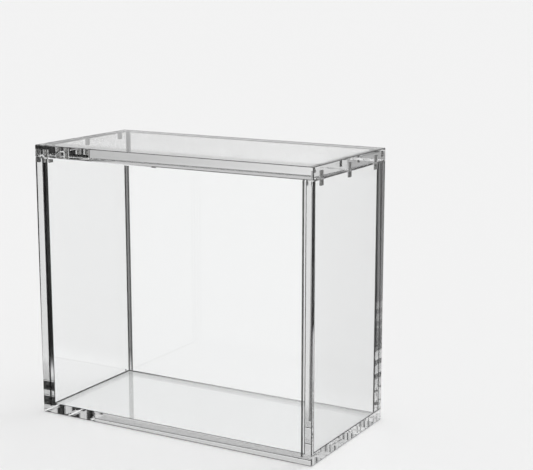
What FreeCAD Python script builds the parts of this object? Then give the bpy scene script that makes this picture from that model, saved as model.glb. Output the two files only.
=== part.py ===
import FreeCAD, Part
import Sketcher
import math
import os

# A clear acrylic display case: a box of five bonded sheets, and a loose lid that magnets hold down.
# Millimetres. The origin is at the middle of the underside, +X runs to the right, +Y to the back, +Z up.
# The outside follows from the space that the case holds and from the sheets round it.
SIZES = (
    ("display_width", 190.0, "clear space between the side panels"),
    ("display_depth", 85.0, "clear space between the front and back panels"),
    ("display_height", 166.5, "clear space from the base panel to the lid"),
    ("wall_thickness", 6.5, "sheet of the four upright panels"),
    ("base_thickness", 5.5, "sheet of the base panel"),
    ("lid_thickness", 8.0, "sheet of the lid"),
    ("cement_film", 0.05, "film of clear cement at each end of the front and back panels"),
    ("edge_chamfer", 0.5, "eased and polished edges of the sheets"),
    ("magnet_diameter", 4.0, "plated disc magnets"),
    ("magnet_length", 4.0, "height of a magnet"),
    ("magnet_chamfer", 0.25, "broken edge at both ends of a magnet"),
    ("magnet_inset", 12.3, "from the case's front or back to the axis of the end magnet"),
    ("magnet_recess", 0.3, "depth of a magnet's free face below the face of its sheet"),
    ("bore_clearance", 0.25, "room all round a magnet in its bore"),
)

# The three magnets of a side, as shares of the reach from the middle of the side to the end magnet.
ROW_SHARES = {"front": -1, "middle": 0, "back": 1}
# The two sides, as shares of the reach from the middle of the case to the middle of a side panel.
SIDE_SHARES = {"left": -1, "right": 1}
# How closely a cut has to take out the volume that its bores have, as a share of that volume.
VOLUME_TOLERANCE_SHARE = 1e-4
# How closely a face has to look the way that is asked, as a share of a unit direction.
DIRECTION_TOLERANCE_SHARE = 1e-6

# Sizes and places worked out from the sheet, as the expressions that the features are bound to.
CASE_WIDTH = "(sizes.display_width + 2 * sizes.wall_thickness)"
CASE_DEPTH = "(sizes.display_depth + 2 * sizes.wall_thickness)"
END_WIDTH = "(sizes.display_width - 2 * sizes.cement_film)"
RIM_HEIGHT = "(sizes.base_thickness + sizes.display_height)"
SIDE_REACH = "((sizes.display_width + sizes.wall_thickness) / 2)"
FRONT_REACH = "((sizes.display_depth + sizes.wall_thickness) / 2)"
ROW_REACH = f"({CASE_DEPTH} / 2 - sizes.magnet_inset)"
BORE_DIAMETER = "(sizes.magnet_diameter + 2 * sizes.bore_clearance)"
BORE_DEPTH = "(sizes.magnet_recess + sizes.magnet_length)"
WALL_MAGNET_FOOT = f"({RIM_HEIGHT} - {BORE_DEPTH})"
LID_MAGNET_FOOT = f"({RIM_HEIGHT} + sizes.magnet_recess)"

doc = FreeCAD.newDocument("display_case")
sizes = doc.addObject("Spreadsheet::Sheet", "sizes")
for row, (alias, value, note) in enumerate(SIZES, start=1):
    sizes.set(f"A{row}", alias)
    sizes.set(f"B{row}", str(value))
    sizes.setAlias(f"B{row}", alias)
    sizes.set(f"C{row}", note)
doc.recompute()

pieces = []


def new_body(label, x="0", y="0", z="0"):
    """A named piece, with its own origin at the place that the expressions give."""
    body = doc.addObject("PartDesign::Body", label)
    body.Label = label
    for axis, expression in zip("xyz", (x, y, z)):
        body.setExpression(f"Placement.Base.{axis}", expression)
    pieces.append(body)
    return body


def new_sketch(body, name, y="0", z="0"):
    """A level sketch in a body, moved along the depth and lifted by the expressions."""
    level = next(plane for plane in body.Origin.OriginFeatures if plane.Role == "XY_Plane")
    sketch = body.newObject("Sketcher::SketchObject", f"{body.Label}_{name}")
    sketch.AttachmentSupport = [(level, "")]
    sketch.MapMode = "FlatFace"
    sketch.setExpression("AttachmentOffset.Base.y", y)
    sketch.setExpression("AttachmentOffset.Base.z", z)
    return sketch


def add_rectangle(sketch, width, depth):
    """A rectangle about the sketch's origin, as wide and as deep as the expressions say."""
    left, right, front, back = -1, 1, -1, 1
    corners = [(left, front), (right, front), (right, back), (left, back)]
    points = [FreeCAD.Vector(across, along, 0) for across, along in corners]
    lines = [Part.LineSegment(point, points[(i + 1) % len(points)]) for i, point in enumerate(points)]
    sketch.addGeometry(lines, False)
    for line in range(len(lines)):
        sketch.addConstraint(Sketcher.Constraint("Coincident", line, 2, (line + 1) % len(lines), 1))
    for kind, line in (("Horizontal", 0), ("Vertical", 1), ("Horizontal", 2), ("Vertical", 3)):
        sketch.addConstraint(Sketcher.Constraint(kind, line))
    sketch.addConstraint(Sketcher.Constraint("Symmetric", 0, 1, 1, 2, -1, 1))
    spans = (("width", "DistanceX", 0, width, right - left), ("depth", "DistanceY", 1, depth, back - front))
    for name, kind, line, expression, drawn in spans:
        index = sketch.addConstraint(Sketcher.Constraint(kind, line, 1, line, 2, drawn))
        sketch.renameConstraint(index, name)
        sketch.setExpression(f"Constraints.{name}", expression)


def add_circle(sketch, diameter):
    """A circle about the sketch's origin."""
    circle = sketch.addGeometry(Part.Circle(FreeCAD.Vector(), FreeCAD.Vector(0, 0, 1), 1), False)
    sketch.addConstraint(Sketcher.Constraint("Coincident", circle, 3, -1, 1))
    index = sketch.addConstraint(Sketcher.Constraint("Diameter", circle, 2))
    sketch.renameConstraint(index, "diameter")
    sketch.setExpression("Constraints.diameter", diameter)


def add_circle_pair(sketch, diameter, span):
    """Two equal circles on the sketch's X axis, a span apart about its origin."""
    left, right = [
        sketch.addGeometry(Part.Circle(FreeCAD.Vector(side, 0, 0), FreeCAD.Vector(0, 0, 1), 1), False)
        for side in SIDE_SHARES.values()
    ]
    sketch.addConstraint(Sketcher.Constraint("Symmetric", left, 3, right, 3, -1, 1))
    sketch.addConstraint(Sketcher.Constraint("PointOnObject", left, 3, -1))
    sketch.addConstraint(Sketcher.Constraint("Equal", left, right))
    index = sketch.addConstraint(Sketcher.Constraint("Diameter", left, 2))
    sketch.renameConstraint(index, "diameter")
    sketch.setExpression("Constraints.diameter", diameter)
    index = sketch.addConstraint(Sketcher.Constraint("DistanceX", left, 3, right, 3, 2))
    sketch.renameConstraint(index, "span")
    sketch.setExpression("Constraints.span", span)


def add_pad(body, sketch, height):
    """Pulls a sketch up into a solid."""
    pad = body.newObject("PartDesign::Pad", f"{body.Label}_pad")
    pad.Profile = sketch
    pad.setExpression("Length", height)
    doc.recompute()
    return pad


def looks_along(normals, direction):
    """Whether one of the normals points the way that is asked."""
    wanted = FreeCAD.Vector(direction)
    return any(normal.isEqual(wanted, DIRECTION_TOLERANCE_SHARE) for normal in normals)


def edges_between(solid, *face_pairs):
    """Names of a block's edges where two of its outward faces meet, each given as a pair of directions."""
    named = []
    for number, edge in enumerate(solid.Shape.Edges, start=1):
        faces = solid.Shape.ancestorsOfType(edge, Part.Face)
        normals = [face.normalAt(0, 0) for face in faces]
        for pair in face_pairs:
            if all(looks_along(normals, direction) for direction in pair):
                named.append(f"Edge{number}")
    return named


def add_chamfer(body, solid, edges, size):
    """Breaks the named edges of a solid."""
    chamfer = body.newObject("PartDesign::Chamfer", f"{body.Label}_chamfer")
    chamfer.Base = (solid, edges)
    chamfer.setExpression("Size", size)
    body.Tip = chamfer
    doc.recompute()
    return chamfer


def add_magnet_bores(body, solid, sketch, bores, upwards):
    """Sinks blind bores at a sketch's circles, and repeats them from the front of the case to the back."""
    pocket = body.newObject("PartDesign::Pocket", f"{body.Label}_bore")
    pocket.Profile = sketch
    pocket.setExpression("Length", BORE_DEPTH)
    pocket.Reversed = upwards
    doc.recompute()
    pattern = body.newObject("PartDesign::LinearPattern", f"{body.Label}_bore_row")
    pattern.Originals = [pocket]
    pattern.Direction = (sketch, ["V_Axis"])
    pattern.setExpression("Length", f"2 * {ROW_REACH}")
    pattern.Occurrences = len(ROW_SHARES)
    body.Tip = pattern
    doc.recompute()
    bore_radius = sizes.magnet_diameter / 2 + sizes.bore_clearance
    bore_depth = sizes.magnet_recess + sizes.magnet_length
    wanted = bores * len(ROW_SHARES) * math.pi * bore_radius**2 * bore_depth
    cut = solid.Shape.Volume - pattern.Shape.Volume
    if abs(cut - wanted) > VOLUME_TOLERANCE_SHARE * wanted:
        raise RuntimeError(f"{body.Label}: the bores took out {cut} of {wanted}")


LEFT, RIGHT = (-1, 0, 0), (1, 0, 0)
FRONT, BACK = (0, -1, 0), (0, 1, 0)
UNDER, OVER = (0, 0, -1), (0, 0, 1)


def make_base_panel():
    """The plate that the walls stand on, eased at its corners and round its underside."""
    body = new_body("base_panel")
    sketch = new_sketch(body, "outline")
    add_rectangle(sketch, CASE_WIDTH, CASE_DEPTH)
    pad = add_pad(body, sketch, "sizes.base_thickness")
    corners = [(side, end) for side in (LEFT, RIGHT) for end in (FRONT, BACK)]
    underside = [(UNDER, face) for face in (LEFT, RIGHT, FRONT, BACK)]
    add_chamfer(body, pad, edges_between(pad, *corners, *underside), "sizes.edge_chamfer")


def make_side_panel(side):
    """A side wall over the full depth, eased along its upright and top edges, with a row of bores on top."""
    body = new_body(f"{side}_panel", x=f"{SIDE_SHARES[side]} * {SIDE_REACH}", z="sizes.base_thickness")
    sketch = new_sketch(body, "outline")
    add_rectangle(sketch, "sizes.wall_thickness", CASE_DEPTH)
    pad = add_pad(body, sketch, "sizes.display_height")
    outer = {"left": LEFT, "right": RIGHT}[side]
    corners = [(face, end) for face in (LEFT, RIGHT) for end in (FRONT, BACK)]
    exposed = [*corners, (outer, OVER), (FRONT, OVER), (BACK, OVER)]
    chamfer = add_chamfer(body, pad, edges_between(pad, *exposed), "sizes.edge_chamfer")
    bore = new_sketch(body, "bore_place", y=f"-{ROW_REACH}", z="sizes.display_height")
    add_circle(bore, BORE_DIAMETER)
    add_magnet_bores(body, chamfer, bore, bores=1, upwards=False)


def make_end_panel(label, outer):
    """The front or back wall, which fits between the side walls and is eased along its outer top edge."""
    share = {FRONT: -1, BACK: 1}[outer]
    body = new_body(label, y=f"{share} * {FRONT_REACH}", z="sizes.base_thickness")
    sketch = new_sketch(body, "outline")
    add_rectangle(sketch, END_WIDTH, "sizes.wall_thickness")
    pad = add_pad(body, sketch, "sizes.display_height")
    add_chamfer(body, pad, edges_between(pad, (outer, OVER)), "sizes.edge_chamfer")


def make_lid_panel():
    """The loose lid, eased all round, with two rows of bores in its underside over those of the walls."""
    body = new_body("lid_panel", z=RIM_HEIGHT)
    sketch = new_sketch(body, "outline")
    add_rectangle(sketch, CASE_WIDTH, CASE_DEPTH)
    pad = add_pad(body, sketch, "sizes.lid_thickness")
    every_edge = [f"Edge{number}" for number in range(1, len(pad.Shape.Edges) + 1)]
    chamfer = add_chamfer(body, pad, every_edge, "sizes.edge_chamfer")
    bore = new_sketch(body, "bore_place", y=f"-{ROW_REACH}")
    add_circle_pair(bore, BORE_DIAMETER, f"2 * {SIDE_REACH}")
    add_magnet_bores(body, chamfer, bore, bores=len(SIDE_SHARES), upwards=True)


def make_magnet(label, side, row, underside):
    """One magnet, pushed to the end of its bore, with its free face a little inside the sheet."""
    body = new_body(
        label,
        x=f"{SIDE_SHARES[side]} * {SIDE_REACH}",
        y=f"{ROW_SHARES[row]} * {ROW_REACH}",
        z=underside,
    )
    sketch = new_sketch(body, "outline")
    add_circle(sketch, "sizes.magnet_diameter")
    pad = add_pad(body, sketch, "sizes.magnet_length")
    rims = [
        f"Edge{number}"
        for number, edge in enumerate(pad.Shape.Edges, start=1)
        if isinstance(edge.Curve, Part.Circle)
    ]
    add_chamfer(body, pad, rims, "sizes.magnet_chamfer")


make_base_panel()
for side_name in SIDE_SHARES:
    make_side_panel(side_name)
make_end_panel("front_panel", FRONT)
make_end_panel("back_panel", BACK)
make_lid_panel()
for side_name in SIDE_SHARES:
    for row_name in ROW_SHARES:
        make_magnet(f"wall_magnet_{side_name}_{row_name}", side_name, row_name, WALL_MAGNET_FOOT)
        make_magnet(f"lid_magnet_{side_name}_{row_name}", side_name, row_name, LID_MAGNET_FOOT)

doc.recompute()
for item in doc.Objects:
    if {"Invalid", "Error"} & set(item.State):
        raise RuntimeError(f"{item.Label} did not come out: {item.State}")
for piece in pieces:
    if piece.Shape.isNull() or not piece.Shape.isValid() or len(piece.Shape.Solids) != 1:
        raise RuntimeError(f"{piece.Label} is not one sound solid")

os.makedirs("parts", exist_ok=True)
for piece in pieces:
    piece.Shape.exportStep(f"parts/{piece.Label}.step")
    box = piece.Shape.BoundBox
    print(f"{piece.Label}: {box.XLength:.2f} x {box.YLength:.2f} x {box.ZLength:.2f}, z from {box.ZMin:.2f}")
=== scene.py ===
import math

import bpy
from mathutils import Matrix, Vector


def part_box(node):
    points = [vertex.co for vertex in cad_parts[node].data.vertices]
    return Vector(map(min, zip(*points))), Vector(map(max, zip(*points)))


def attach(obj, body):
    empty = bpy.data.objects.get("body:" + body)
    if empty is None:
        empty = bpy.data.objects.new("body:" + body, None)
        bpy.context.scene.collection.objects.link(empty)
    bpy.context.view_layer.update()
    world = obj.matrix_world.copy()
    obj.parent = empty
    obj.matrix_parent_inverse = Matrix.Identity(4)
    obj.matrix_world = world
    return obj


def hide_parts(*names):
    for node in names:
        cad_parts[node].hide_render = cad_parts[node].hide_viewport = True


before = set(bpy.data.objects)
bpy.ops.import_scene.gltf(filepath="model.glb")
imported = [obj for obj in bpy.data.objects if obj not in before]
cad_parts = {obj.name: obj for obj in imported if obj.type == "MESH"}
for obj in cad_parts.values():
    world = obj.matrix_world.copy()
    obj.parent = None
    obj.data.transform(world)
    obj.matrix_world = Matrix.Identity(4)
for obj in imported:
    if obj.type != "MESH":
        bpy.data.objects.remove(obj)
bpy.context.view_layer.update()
scene = bpy.context.scene

# Metres, in the frame of the solids: the origin is under the middle of the case, +X right, +Y back, +Z up.
MM = 0.001

WALLS_AND_BASE = ("base_panel", "left_panel", "right_panel", "front_panel", "back_panel")
MAGNETS = [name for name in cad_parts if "_magnet_" in name]

# The clear space inside, the outside, and the heights at which the walls begin and end.
INSIDE_HALF_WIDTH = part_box("right_panel")[0][0]
INSIDE_HALF_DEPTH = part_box("back_panel")[0][1]
OUTSIDE_HALF_DEPTH, BASE_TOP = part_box("base_panel")[1][1:]
LID_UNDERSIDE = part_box("lid_panel")[0][2]

# The bonds between the sheets, and the groove that the eased edges leave outside a bond.
CEMENT_FILM = INSIDE_HALF_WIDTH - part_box("front_panel")[1][0]
EASED_EDGE = 0.5 * MM
GROOVE_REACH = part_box("left_panel")[1][1] - EASED_EDGE
BOND_TOLERANCE = 0.01 * MM

# The lines of cement. The back one fades to the right, and the front one is thinner.
CEMENT_LINE = 0.7 * MM
BACK_LINE_FADE = (-INSIDE_HALF_WIDTH, 10 * MM)
BACK_LINE_SHARES = (1.0, 0.68)
FRONT_LINE_SHARE = 0.5

# The eased edges, told by the slope of a face. The magnets' bores stay clear of the front and the back.
SLANTED_BELOW = 0.9
UPRIGHT_BELOW = 0.1
BORE_MARGIN = 2 * MM

# Every measure that a mask on the acrylic takes.
CASE_MEASURES = {
    "Half Width": INSIDE_HALF_WIDTH,
    "Half Depth": INSIDE_HALF_DEPTH,
    "Outer Depth": OUTSIDE_HALF_DEPTH,
    "Base Top": BASE_TOP,
    "Wall Top": LID_UNDERSIDE,
    "Film": CEMENT_FILM,
    "Groove": GROOVE_REACH,
    "Tolerance": BOND_TOLERANCE,
    "Bore Rows": OUTSIDE_HALF_DEPTH - BORE_MARGIN,
    "Reach": CEMENT_LINE,
}

# The film of air under the lid, and the angle up to which its faces are shaded as one.
AIR_FILM = 0.05 * MM
LID_SMOOTH_ANGLE = math.radians(20)

ACRYLIC_IOR = 1.49
ACRYLIC_TINT = (0.995, 0.998, 0.998, 1.0)
# Painted shade: the eased edges are tinted almost black, which draws dark outlines on the sheets. They are
# also a little rough.
EASED_EDGE_PAINTED_SHADE = (0.04, 0.04, 0.04, 1.0)
EASED_EDGE_ROUGHNESS = 0.12
CEMENT_TINT = (0.02, 0.02, 0.02, 1.0)

PLATING_DARK = (0.28, 0.277, 0.272, 1.0)
PLATING_LIGHT = (0.52, 0.515, 0.505, 1.0)
PLATING_CLOUD_SCALE = 900.0
PLATING_CLOUD_DETAIL = 4.0
PLATING_CLOUD_SPAN = (0.3, 0.7)
PLATING_ROUGHNESS = (0.10, 0.22)

# Light Path counts in whole numbers, so each limit lies between two of them.
ONCE = 0.5
TWICE = 1.5
OFTEN = 2.5
ONE_SHEET = 3.5

# The floor lies just below the base, so that the two faces do not coincide.
FLOOR_SIZE = 80.0
FLOOR_DROP = 0.05 * MM

# Where one tone of the floor passes into the next, along Y or X. The left side is cut on a slant.
BEHIND_CASE = (60 * MM, 100 * MM)
FAR_BEHIND = (985 * MM, 1020 * MM)
IN_FRONT = (-55 * MM, -75 * MM)
LEFT_SLANT = -0.42
LEFT_SIDE = (-120 * MM, -160 * MM)
LEFT_FADE = (-850 * MM, -500 * MM)
FAR_LEFT_FADE = (-900 * MM, -830 * MM)
FRONT_FADE = (150 * MM, 0.0)
BESIDE_CASE = (-98 * MM, -104 * MM)
# The patch of painted light on the floor far behind at the left, seen only through the sheets.
PAINTED_LIGHT_DEPTH = (1030 * MM, 1060 * MM)
PAINTED_LIGHT_WIDTH = (-445 * MM, -475 * MM)

# Tones of the floor. The first is the floor's own even tone. The others are painted light and painted shade
# that only light which has met a sheet sees. Two numbers are a tone for one turn in a sheet and for two, or
# for both ends of a fade.
FLOOR_TONE = 0.8
# Painted light: the floor seen through the sheets is brighter than its own tone.
FLOOR_TONE_THROUGH_SHEETS = 0.89
# Painted reflection: the floor is much darker where the outside of a sheet mirrors it.
FLOOR_TONE_MIRRORED = 0.10
# Painted reflections: tones of the floor, mostly painted shade, that only light turned inside a sheet sees,
# so that the sheets' edges look dark.
RIGHT_PAINTED_REFLECTION = (0.25, 0.85)
LEFT_PAINTED_REFLECTION = (0.14, 0.50)
FAR_LEFT_PAINTED_REFLECTION = (0.14, 0.62)
FRONT_PAINTED_REFLECTION = 0.24
UNDER_PAINTED_REFLECTION = 0.60
BESIDE_PAINTED_REFLECTION = 0.85
LONG_WAY_PAINTED_REFLECTION = 0.16
BLACK_PAINTED_REFLECTION = 0.005
# Painted light, brighter than white, on the patch far behind at the left.
LID_PAINTED_LIGHT = 1.45

# The open sky, and a soft key light, by azimuth and elevation and by the angles at which it ends.
SKY_SPAN = (0.0, 0.5)
SKY_TONES = (0.92, 0.96)
KEY_FROM = (23, 50)
KEY_EDGE = (math.cos(math.radians(26)), math.cos(math.radians(18)))
KEY_TONE = 2.4

# The parts of the sky, by the X, Y or Z of a ray, and their tones for light that has turned inside a sheet.
FRONT_SKY = (0.05, -0.05)
RIGHT_SKY = (0.10, 0.30)
RISEN_SKY = (0.16, 0.26)
HIGH_SKY = (0.35, 0.60)
LEFT_CARD_SPAN = (-0.65, -0.46)
LEFT_CARD_TONES = (0.42, 0.78)
GREY_CARD_SPAN = (-0.458, -0.44)
GREY_CARD_TONE = 0.43
RISEN_SPAN = (-0.438, -0.415)
RISEN_TONES = (0.60, 0.90)
RISEN_TONE_ONCE = 0.97
FRONT_LEFT_TONE = 0.70
FRONT_RIGHT_TONE = 0.9
REAR_RIGHT_TONE = 0.003
HIGH_TONE = 1.0

# The dim patch of low sky at the rear left that the top of the lid mirrors.
DIM_BELOW = (0.165, 0.146)
DIM_BEHIND = (0.68, 0.74)
DIM_LEFT = (-0.36, -0.40)
DIM_SPAN = (-0.60, -0.54)
DIM_TONES = (0.58, 0.52)

# The camera, fitted to the corners of the case.
SENSOR_WIDTH = 36.0
FOCAL_PIXELS = 1290.0
VIEW_WIDTH_PIXELS = 533.0
CLIP_START = 0.01
CLIP_END = 100.0
CAMERA_PLACE = Vector((438.4, -692.4, 285.0)) * MM
CAMERA_AIM = (-29.75, -11.25)

# Light turns many times inside a clear sheet before it leaves.
MAX_BOUNCES = 48
MAX_CLEAR_PASSES = 64

# The sockets of a Mix node: share, first and second value, and the result.
MIX_SOCKETS = {"FLOAT": ((0, 2, 3), 0), "RGBA": ((0, 6, 7), 2)}


def new_material(name):
    """An empty node material."""
    material = bpy.data.materials.new(name)
    material.use_nodes = True
    material.node_tree.nodes.clear()
    return material


def add_node(tree, kind, **settings):
    """A node with its settings."""
    node = tree.nodes.new(kind)
    for key, value in settings.items():
        setattr(node, key, value)
    return node


def new_group(name, inputs, output):
    """An empty group for a mask: its tree, its input sockets and the socket that takes the mask."""
    group = bpy.data.node_groups.new(name, "ShaderNodeTree")
    for title in inputs:
        group.interface.new_socket(title, in_out="INPUT", socket_type="NodeSocketFloat")
    group.interface.new_socket(output, in_out="OUTPUT", socket_type="NodeSocketFloat")
    given = add_node(group, "NodeGroupInput").outputs
    result = add_node(group, "NodeGroupOutput").inputs[output]
    return group, given, result


def add_mask(tree, group):
    """A mask group placed in a material with the measures of the case. Returns the mask."""
    node = add_node(tree, "ShaderNodeGroup", node_tree=group)
    for socket in node.inputs:
        socket.default_value = CASE_MEASURES[socket.name]
    return node.outputs[0]


def wire(tree, *chain):
    """Joins output and input sockets in pairs."""
    for source, target in zip(chain[::2], chain[1::2]):
        tree.links.new(source, target)


def feed(tree, target, value):
    """Gives an input socket a plain value, or joins another socket to it."""
    if isinstance(value, bpy.types.NodeSocket):
        tree.links.new(value, target)
    else:
        target.default_value = value


def calculate(tree, operation, *values):
    """A Math node on sockets or numbers."""
    node = add_node(tree, "ShaderNodeMath", operation=operation)
    for target, value in zip(node.inputs, values):
        feed(tree, target, value)
    return node.outputs[0]


def axes(tree, vector):
    """The X, Y and Z of a vector."""
    split = add_node(tree, "ShaderNodeSeparateXYZ")
    wire(tree, vector, split.inputs[0])
    return [split.outputs[axis] for axis in "XYZ"]


def surface_place(tree):
    """The X, Y and Z of a point on a piece, in the piece's own coordinates."""
    return axes(tree, add_node(tree, "ShaderNodeTexCoord").outputs["Object"])


def near(tree, value, target, reach):
    """1 where a value is within reach of a target, else 0."""
    return calculate(tree, "COMPARE", value, target, reach)


def any_of(tree, *masks):
    """The largest of several masks."""
    largest = masks[0]
    for mask in masks[1:]:
        largest = calculate(tree, "MAXIMUM", largest, mask)
    return largest


def all_of(tree, *masks):
    """The product of several masks."""
    product = masks[0]
    for mask in masks[1:]:
        product = calculate(tree, "MULTIPLY", product, mask)
    return product


def opposite(tree, mask):
    """1 where a mask is 0, and 0 where it is 1."""
    return calculate(tree, "SUBTRACT", 1.0, mask)


def ramp(tree, value, span, tones=(0.0, 1.0), smooth=True):
    """A value carried from a span to a pair of tones, and held at both ends."""
    node = add_node(tree, "ShaderNodeMapRange", interpolation_type="SMOOTHSTEP" if smooth else "LINEAR")
    for target, number in zip(node.inputs[1:5], (*span, *tones)):
        target.default_value = number
    wire(tree, value, node.inputs["Value"])
    return node.outputs["Result"]


def blend(tree, share, first, second, kind="FLOAT"):
    """The first value where the share is 0, and the second where it is 1."""
    node = add_node(tree, "ShaderNodeMix", data_type=kind)
    entries, result = MIX_SOCKETS[kind]
    for entry, value in zip(entries, (share, first, second)):
        feed(tree, node.inputs[entry], value)
    return node.outputs[result]


def make_bond_group():
    """0 on a clear bond, which is under every wall and at the front wall's ends, else 1."""
    inputs = ("Half Width", "Half Depth", "Film", "Groove", "Base Top", "Tolerance")
    group, given, result = new_group("bonded_faces", inputs, "Free")
    x, y, z = surface_place(group)
    across = calculate(group, "ABSOLUTE", x)
    along = calculate(group, "ABSOLUTE", y)
    front = calculate(group, "MULTIPLY", y, -1.0)
    film_middle = calculate(group, "MULTIPLY_ADD", given["Film"], -0.5, given["Half Width"])
    film_reach = calculate(group, "MULTIPLY_ADD", given["Film"], 0.5, given["Tolerance"])
    on_end = near(group, across, film_middle, film_reach)
    on_foot = near(group, z, given["Base Top"], given["Tolerance"])
    past_side = calculate(group, "GREATER_THAN", across, given["Half Width"])
    past_end = calculate(group, "GREATER_THAN", along, given["Half Depth"])
    past_front = calculate(group, "GREATER_THAN", front, given["Half Depth"])
    behind_groove = calculate(group, "LESS_THAN", front, given["Groove"])
    end_bond = all_of(group, on_end, past_front, behind_groove)
    foot_bond = all_of(group, on_foot, any_of(group, past_side, past_end))
    wire(group, opposite(group, any_of(group, end_bond, foot_bond)), result)
    return group


def make_cement_group():
    """Thin grey lines of cement at the inside corners, and up the front and back beside the side walls."""
    inputs = ("Half Width", "Half Depth", "Base Top", "Wall Top", "Outer Depth", "Reach")
    group, given, result = new_group("cement_lines", inputs, "Line")
    x, y, z = surface_place(group)
    across = calculate(group, "ABSOLUTE", x)
    along = calculate(group, "ABSOLUTE", y)
    front = calculate(group, "MULTIPLY", y, -1.0)
    reach = given["Reach"]
    thin = calculate(group, "MULTIPLY", reach, FRONT_LINE_SHARE)
    at_side = near(group, across, given["Half Width"], reach)
    at_end = near(group, along, given["Half Depth"], reach)
    at_face = near(group, along, given["Outer Depth"], reach)
    at_foot = near(group, z, given["Base Top"], reach)
    at_back = near(group, y, given["Half Depth"], reach)
    at_back = all_of(group, at_back, ramp(group, x, BACK_LINE_FADE, BACK_LINE_SHARES, smooth=False))
    at_front = near(group, front, given["Half Depth"], thin)
    front_line = all_of(group, at_front, near(group, z, given["Base Top"], thin))
    foot_line = all_of(group, at_foot, any_of(group, at_side, at_back))
    above_base = calculate(group, "GREATER_THAN", z, given["Base Top"])
    below_lid = calculate(group, "LESS_THAN", z, given["Wall Top"])
    upright_line = all_of(group, at_side, any_of(group, at_end, at_face), above_base, below_lid)
    wire(group, any_of(group, foot_line, front_line, upright_line), result)
    return group


def make_edge_group():
    """The eased edges of the sheets, less the bores, the groove over the base and the seam under the lid. The
    acrylic gives them painted shade and makes them a little rough.
    """
    group, given, result = new_group("eased_edges", ("Bore Rows", "Base Top", "Wall Top", "Reach"), "Edge")
    normal = add_node(group, "ShaderNodeNewGeometry").outputs["True Normal"]
    slopes = [calculate(group, "ABSOLUTE", part) for part in axes(group, normal)]
    y, z = surface_place(group)[1:]
    slanted = calculate(group, "LESS_THAN", any_of(group, *slopes), SLANTED_BELOW)
    upright = calculate(group, "LESS_THAN", slopes[2], UPRIGHT_BELOW)
    in_rows = calculate(group, "LESS_THAN", calculate(group, "ABSOLUTE", y), given["Bore Rows"])
    bore = all_of(group, upright, in_rows)
    groove = near(group, z, given["Base Top"], given["Reach"])
    seam = near(group, z, given["Wall Top"], given["Reach"])
    wire(group, all_of(group, slanted, opposite(group, any_of(group, bore, groove, seam))), result)
    return group


def make_acrylic():
    """Clear cast sheet, with painted shade on its eased edges and dark lines of cement. Most bonds are as
    clear as the sheet, so that the box bends light as one block.
    """
    material = new_material("clear_acrylic")
    tree = material.node_tree
    sheet = add_node(tree, "ShaderNodeBsdfPrincipled")
    sheet.inputs["IOR"].default_value = ACRYLIC_IOR
    sheet.inputs["Transmission Weight"].default_value = 1.0
    free = add_mask(tree, make_bond_group())
    line = add_mask(tree, make_cement_group())
    edge = add_mask(tree, make_edge_group())
    # Painted shade on the eased edges, almost black. The cement lines are dark joints.
    painted_edge_shade = blend(tree, edge, ACRYLIC_TINT, EASED_EDGE_PAINTED_SHADE, kind="RGBA")
    lined = blend(tree, line, painted_edge_shade, CEMENT_TINT, kind="RGBA")
    dulled = calculate(tree, "MULTIPLY", edge, EASED_EDGE_ROUGHNESS)
    output = add_node(tree, "ShaderNodeOutputMaterial")
    wire(tree, lined, sheet.inputs["Base Color"], dulled, sheet.inputs["Roughness"])
    wire(tree, free, sheet.inputs["Alpha"], sheet.outputs[0], output.inputs["Surface"])
    return material


def make_plating():
    """Bright nickel on the magnets."""
    material = new_material("magnet_plating")
    tree = material.node_tree
    metal = add_node(tree, "ShaderNodeBsdfPrincipled")
    metal.inputs["Metallic"].default_value = 1.0
    place = add_node(tree, "ShaderNodeTexCoord").outputs["Object"]
    cloud = add_node(tree, "ShaderNodeTexNoise")
    cloud.inputs["Scale"].default_value = PLATING_CLOUD_SCALE
    cloud.inputs["Detail"].default_value = PLATING_CLOUD_DETAIL
    wire(tree, place, cloud.inputs["Vector"])
    shade = cloud.outputs["Fac"]
    colour = blend(tree, shade, PLATING_DARK, PLATING_LIGHT, kind="RGBA")
    dulled = ramp(tree, shade, PLATING_CLOUD_SPAN, PLATING_ROUGHNESS)
    output = add_node(tree, "ShaderNodeOutputMaterial")
    wire(tree, colour, metal.inputs["Base Color"], dulled, metal.inputs["Roughness"])
    wire(tree, metal.outputs[0], output.inputs["Surface"])
    return material


def make_lid():
    """The lid sheet, clear of the walls by the film of air that stays between two flat sheets."""
    bpy.ops.object.select_all(action="DESELECT")
    lid = bpy.data.objects.new("lid_sheet", bpy.data.objects["lid_panel"].data.copy())
    scene.collection.objects.link(lid)
    lid.select_set(True)
    bpy.context.view_layer.objects.active = lid
    bpy.ops.mesh.customdata_custom_splitnormals_clear()
    bpy.ops.object.mode_set(mode="EDIT")
    bpy.ops.mesh.select_all(action="SELECT")
    bpy.ops.mesh.remove_doubles(threshold=BOND_TOLERANCE)
    bpy.ops.mesh.select_all(action="DESELECT")
    bpy.ops.object.mode_set(mode="OBJECT")
    for vertex in lid.data.vertices:
        vertex.select = vertex.co.z < LID_UNDERSIDE + BOND_TOLERANCE
    bpy.ops.object.mode_set(mode="EDIT")
    bpy.ops.transform.translate(value=(0, 0, AIR_FILM))
    bpy.ops.object.mode_set(mode="OBJECT")
    bpy.ops.object.shade_smooth_by_angle(angle=LID_SMOOTH_ANGLE)
    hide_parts("lid_panel")
    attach(lid, "lid")


def dress(names, material):
    """Gives pieces a material."""
    for name in names:
        mesh = bpy.data.objects[name].data
        mesh.materials.clear()
        mesh.materials.append(material)


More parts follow.
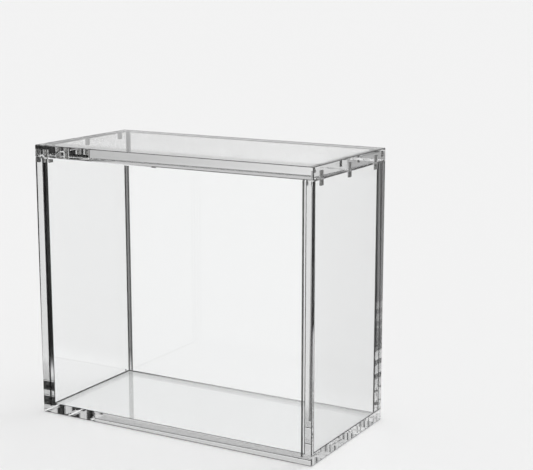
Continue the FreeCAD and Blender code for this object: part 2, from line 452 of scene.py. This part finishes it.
def light_turns(tree):
    """Masks for light by its way here: through a sheet, mirrored outside, or turned inside, and how often."""
    path = add_node(tree, "ShaderNodeLightPath")
    turns = path.outputs["Glossy Depth"]
    passes = path.outputs["Transmission Depth"]
    entered = calculate(tree, "GREATER_THAN", passes, ONCE)
    turned = calculate(tree, "GREATER_THAN", turns, ONCE)
    inside = all_of(tree, turned, entered)
    return {
        "through": calculate(tree, "SUBTRACT", entered, inside),
        "mirrored": calculate(tree, "SUBTRACT", turned, inside),
        "inside": inside,
        "twice": calculate(tree, "GREATER_THAN", turns, TWICE),
        "often": calculate(tree, "GREATER_THAN", turns, OFTEN),
        "one_sheet": calculate(tree, "LESS_THAN", passes, ONE_SHEET),
    }


def make_floor():
    """A pale, even floor that runs out of sight. Light that has met a sheet sees painted light and painted
    shade on it: a brighter floor and a patch brighter than white through the sheets, a dark floor in their
    mirrorings, and dark patches where light has turned inside them.
    """
    material = new_material("floor_paint")
    tree = material.node_tree
    paint = add_node(tree, "ShaderNodeBsdfPrincipled")
    paint.inputs["Roughness"].default_value = 1.0
    paint.inputs["Specular IOR Level"].default_value = 0.0
    x, y = surface_place(tree)[:2]
    light = light_turns(tree)
    # The painted reflections and painted shade for light turned inside a sheet, by place on the floor.
    behind = ramp(tree, y, BEHIND_CASE)
    far = ramp(tree, y, FAR_BEHIND)
    in_front = ramp(tree, y, IN_FRONT)
    left = ramp(tree, calculate(tree, "MULTIPLY_ADD", y, LEFT_SLANT, x), LEFT_SIDE)
    beside = ramp(tree, x, BESIDE_CASE)
    painted_light_patch = all_of(tree, ramp(tree, y, PAINTED_LIGHT_DEPTH), ramp(tree, x, PAINTED_LIGHT_WIDTH))
    right_tone = blend(tree, far, blend(tree, light["twice"], *RIGHT_PAINTED_REFLECTION), BLACK_PAINTED_REFLECTION)
    far_left_tone = ramp(tree, x, FAR_LEFT_FADE, FAR_LEFT_PAINTED_REFLECTION)
    left_tone = blend(tree, far, ramp(tree, x, LEFT_FADE, LEFT_PAINTED_REFLECTION), far_left_tone)
    left_tone = blend(tree, light["often"], left_tone, BLACK_PAINTED_REFLECTION)
    rear_tone = blend(tree, left, right_tone, left_tone)
    under_tone = blend(tree, beside, UNDER_PAINTED_REFLECTION, BESIDE_PAINTED_REFLECTION)
    front_tone = ramp(tree, x, FRONT_FADE, (FLOOR_TONE, FRONT_PAINTED_REFLECTION))
    near_tone = blend(tree, in_front, under_tone, front_tone)
    near_tone = blend(tree, light["one_sheet"], FLOOR_TONE, near_tone)
    edge_tone = blend(tree, behind, near_tone, rear_tone)
    long_way = all_of(tree, light["twice"], opposite(tree, light["one_sheet"]))
    long_tone = blend(tree, in_front, blend(tree, far, LONG_WAY_PAINTED_REFLECTION, BLACK_PAINTED_REFLECTION), FRONT_PAINTED_REFLECTION)
    edge_tone = blend(tree, long_way, edge_tone, long_tone)
    # Painted light on the floor for light through the sheets.
    through_tone = blend(tree, painted_light_patch, FLOOR_TONE_THROUGH_SHEETS, LID_PAINTED_LIGHT)
    tone = blend(tree, light["through"], FLOOR_TONE, through_tone)
    # Painted reflection: darker floor in the sheets' mirrorings.
    tone = blend(tree, light["mirrored"], tone, FLOOR_TONE_MIRRORED)
    tone = blend(tree, light["inside"], tone, edge_tone)
    output = add_node(tree, "ShaderNodeOutputMaterial")
    wire(tree, tone, paint.inputs["Base Color"], paint.outputs[0], output.inputs["Surface"])
    bpy.ops.object.select_all(action="DESELECT")
    bpy.ops.mesh.primitive_plane_add(size=FLOOR_SIZE, location=(0, 0, -FLOOR_DROP))
    floor = bpy.context.object
    floor.name = "floor"
    floor.data.materials.append(material)


def direction(azimuth, elevation):
    """A unit vector: azimuth 0 looks to the back, 90 to the right."""
    turn = math.radians(azimuth)
    lift = math.radians(elevation)
    return Vector((math.sin(turn) * math.cos(lift), math.cos(turn) * math.cos(lift), math.sin(lift)))


def make_world():
    """The studio: an open sky, a soft key at the back right, and the flags that draw the sheets' edges."""
    world = bpy.data.worlds.new("studio")
    scene.world = world
    world.use_nodes = True
    tree = world.node_tree
    tree.nodes.clear()
    ray = add_node(tree, "ShaderNodeTexCoord").outputs["Generated"]
    x, y, z = axes(tree, ray)
    light = light_turns(tree)
    facing = add_node(tree, "ShaderNodeVectorMath", operation="DOT_PRODUCT")
    facing.inputs[1].default_value = direction(*KEY_FROM)
    wire(tree, ray, facing.inputs[0])
    key = ramp(tree, facing.outputs["Value"], KEY_EDGE)
    open_light = blend(tree, key, ramp(tree, z, SKY_SPAN, SKY_TONES, smooth=False), KEY_TONE)
    front = ramp(tree, y, FRONT_SKY)
    right = ramp(tree, x, RIGHT_SKY)
    risen = ramp(tree, z, RISEN_SKY)
    high = ramp(tree, z, HIGH_SKY)
    left_card = ramp(tree, x, LEFT_CARD_SPAN, LEFT_CARD_TONES, smooth=False)
    rear_left = blend(tree, ramp(tree, x, GREY_CARD_SPAN), left_card, GREY_CARD_TONE)
    risen_tone = blend(tree, light["twice"], RISEN_TONE_ONCE, ramp(tree, x, RISEN_SPAN, RISEN_TONES))
    rear_left = blend(tree, risen, rear_left, risen_tone)
    left_tone = blend(tree, front, rear_left, FRONT_LEFT_TONE)
    right_tone = blend(tree, front, REAR_RIGHT_TONE, FRONT_RIGHT_TONE)
    edge_light = blend(tree, high, blend(tree, right, left_tone, right_tone), HIGH_TONE)
    dim = all_of(tree, ramp(tree, z, DIM_BELOW), ramp(tree, y, DIM_BEHIND), ramp(tree, x, DIM_LEFT))
    lid_light = blend(tree, dim, open_light, ramp(tree, x, DIM_SPAN, DIM_TONES))
    level = blend(tree, light["mirrored"], open_light, lid_light)
    level = blend(tree, light["inside"], level, edge_light)
    background = add_node(tree, "ShaderNodeBackground")
    output = add_node(tree, "ShaderNodeOutputWorld")
    wire(tree, level, background.inputs["Color"], background.outputs[0], output.inputs["Surface"])


def make_camera():
    """The view that the case is matched to."""
    camera = bpy.data.cameras.new("camera")
    camera.sensor_fit = "HORIZONTAL"
    camera.sensor_width = SENSOR_WIDTH
    camera.lens = SENSOR_WIDTH * FOCAL_PIXELS / VIEW_WIDTH_PIXELS
    camera.clip_start = CLIP_START
    camera.clip_end = CLIP_END
    holder = bpy.data.objects.new("camera", camera)
    scene.collection.objects.link(holder)
    holder.location = CAMERA_PLACE
    holder.rotation_euler = direction(*CAMERA_AIM).to_track_quat("-Z", "Y").to_euler()
    scene.camera = holder


make_lid()
dress((*WALLS_AND_BASE, "lid_sheet"), make_acrylic())
dress(MAGNETS, make_plating())
make_floor()
make_world()
make_camera()

scene.view_settings.view_transform = "Standard"
scene.cycles.blur_glossy = 0.0
scene.cycles.max_bounces = MAX_BOUNCES
scene.cycles.transmission_bounces = MAX_BOUNCES
scene.cycles.glossy_bounces = MAX_BOUNCES
scene.cycles.transparent_max_bounces = MAX_CLEAR_PASSES
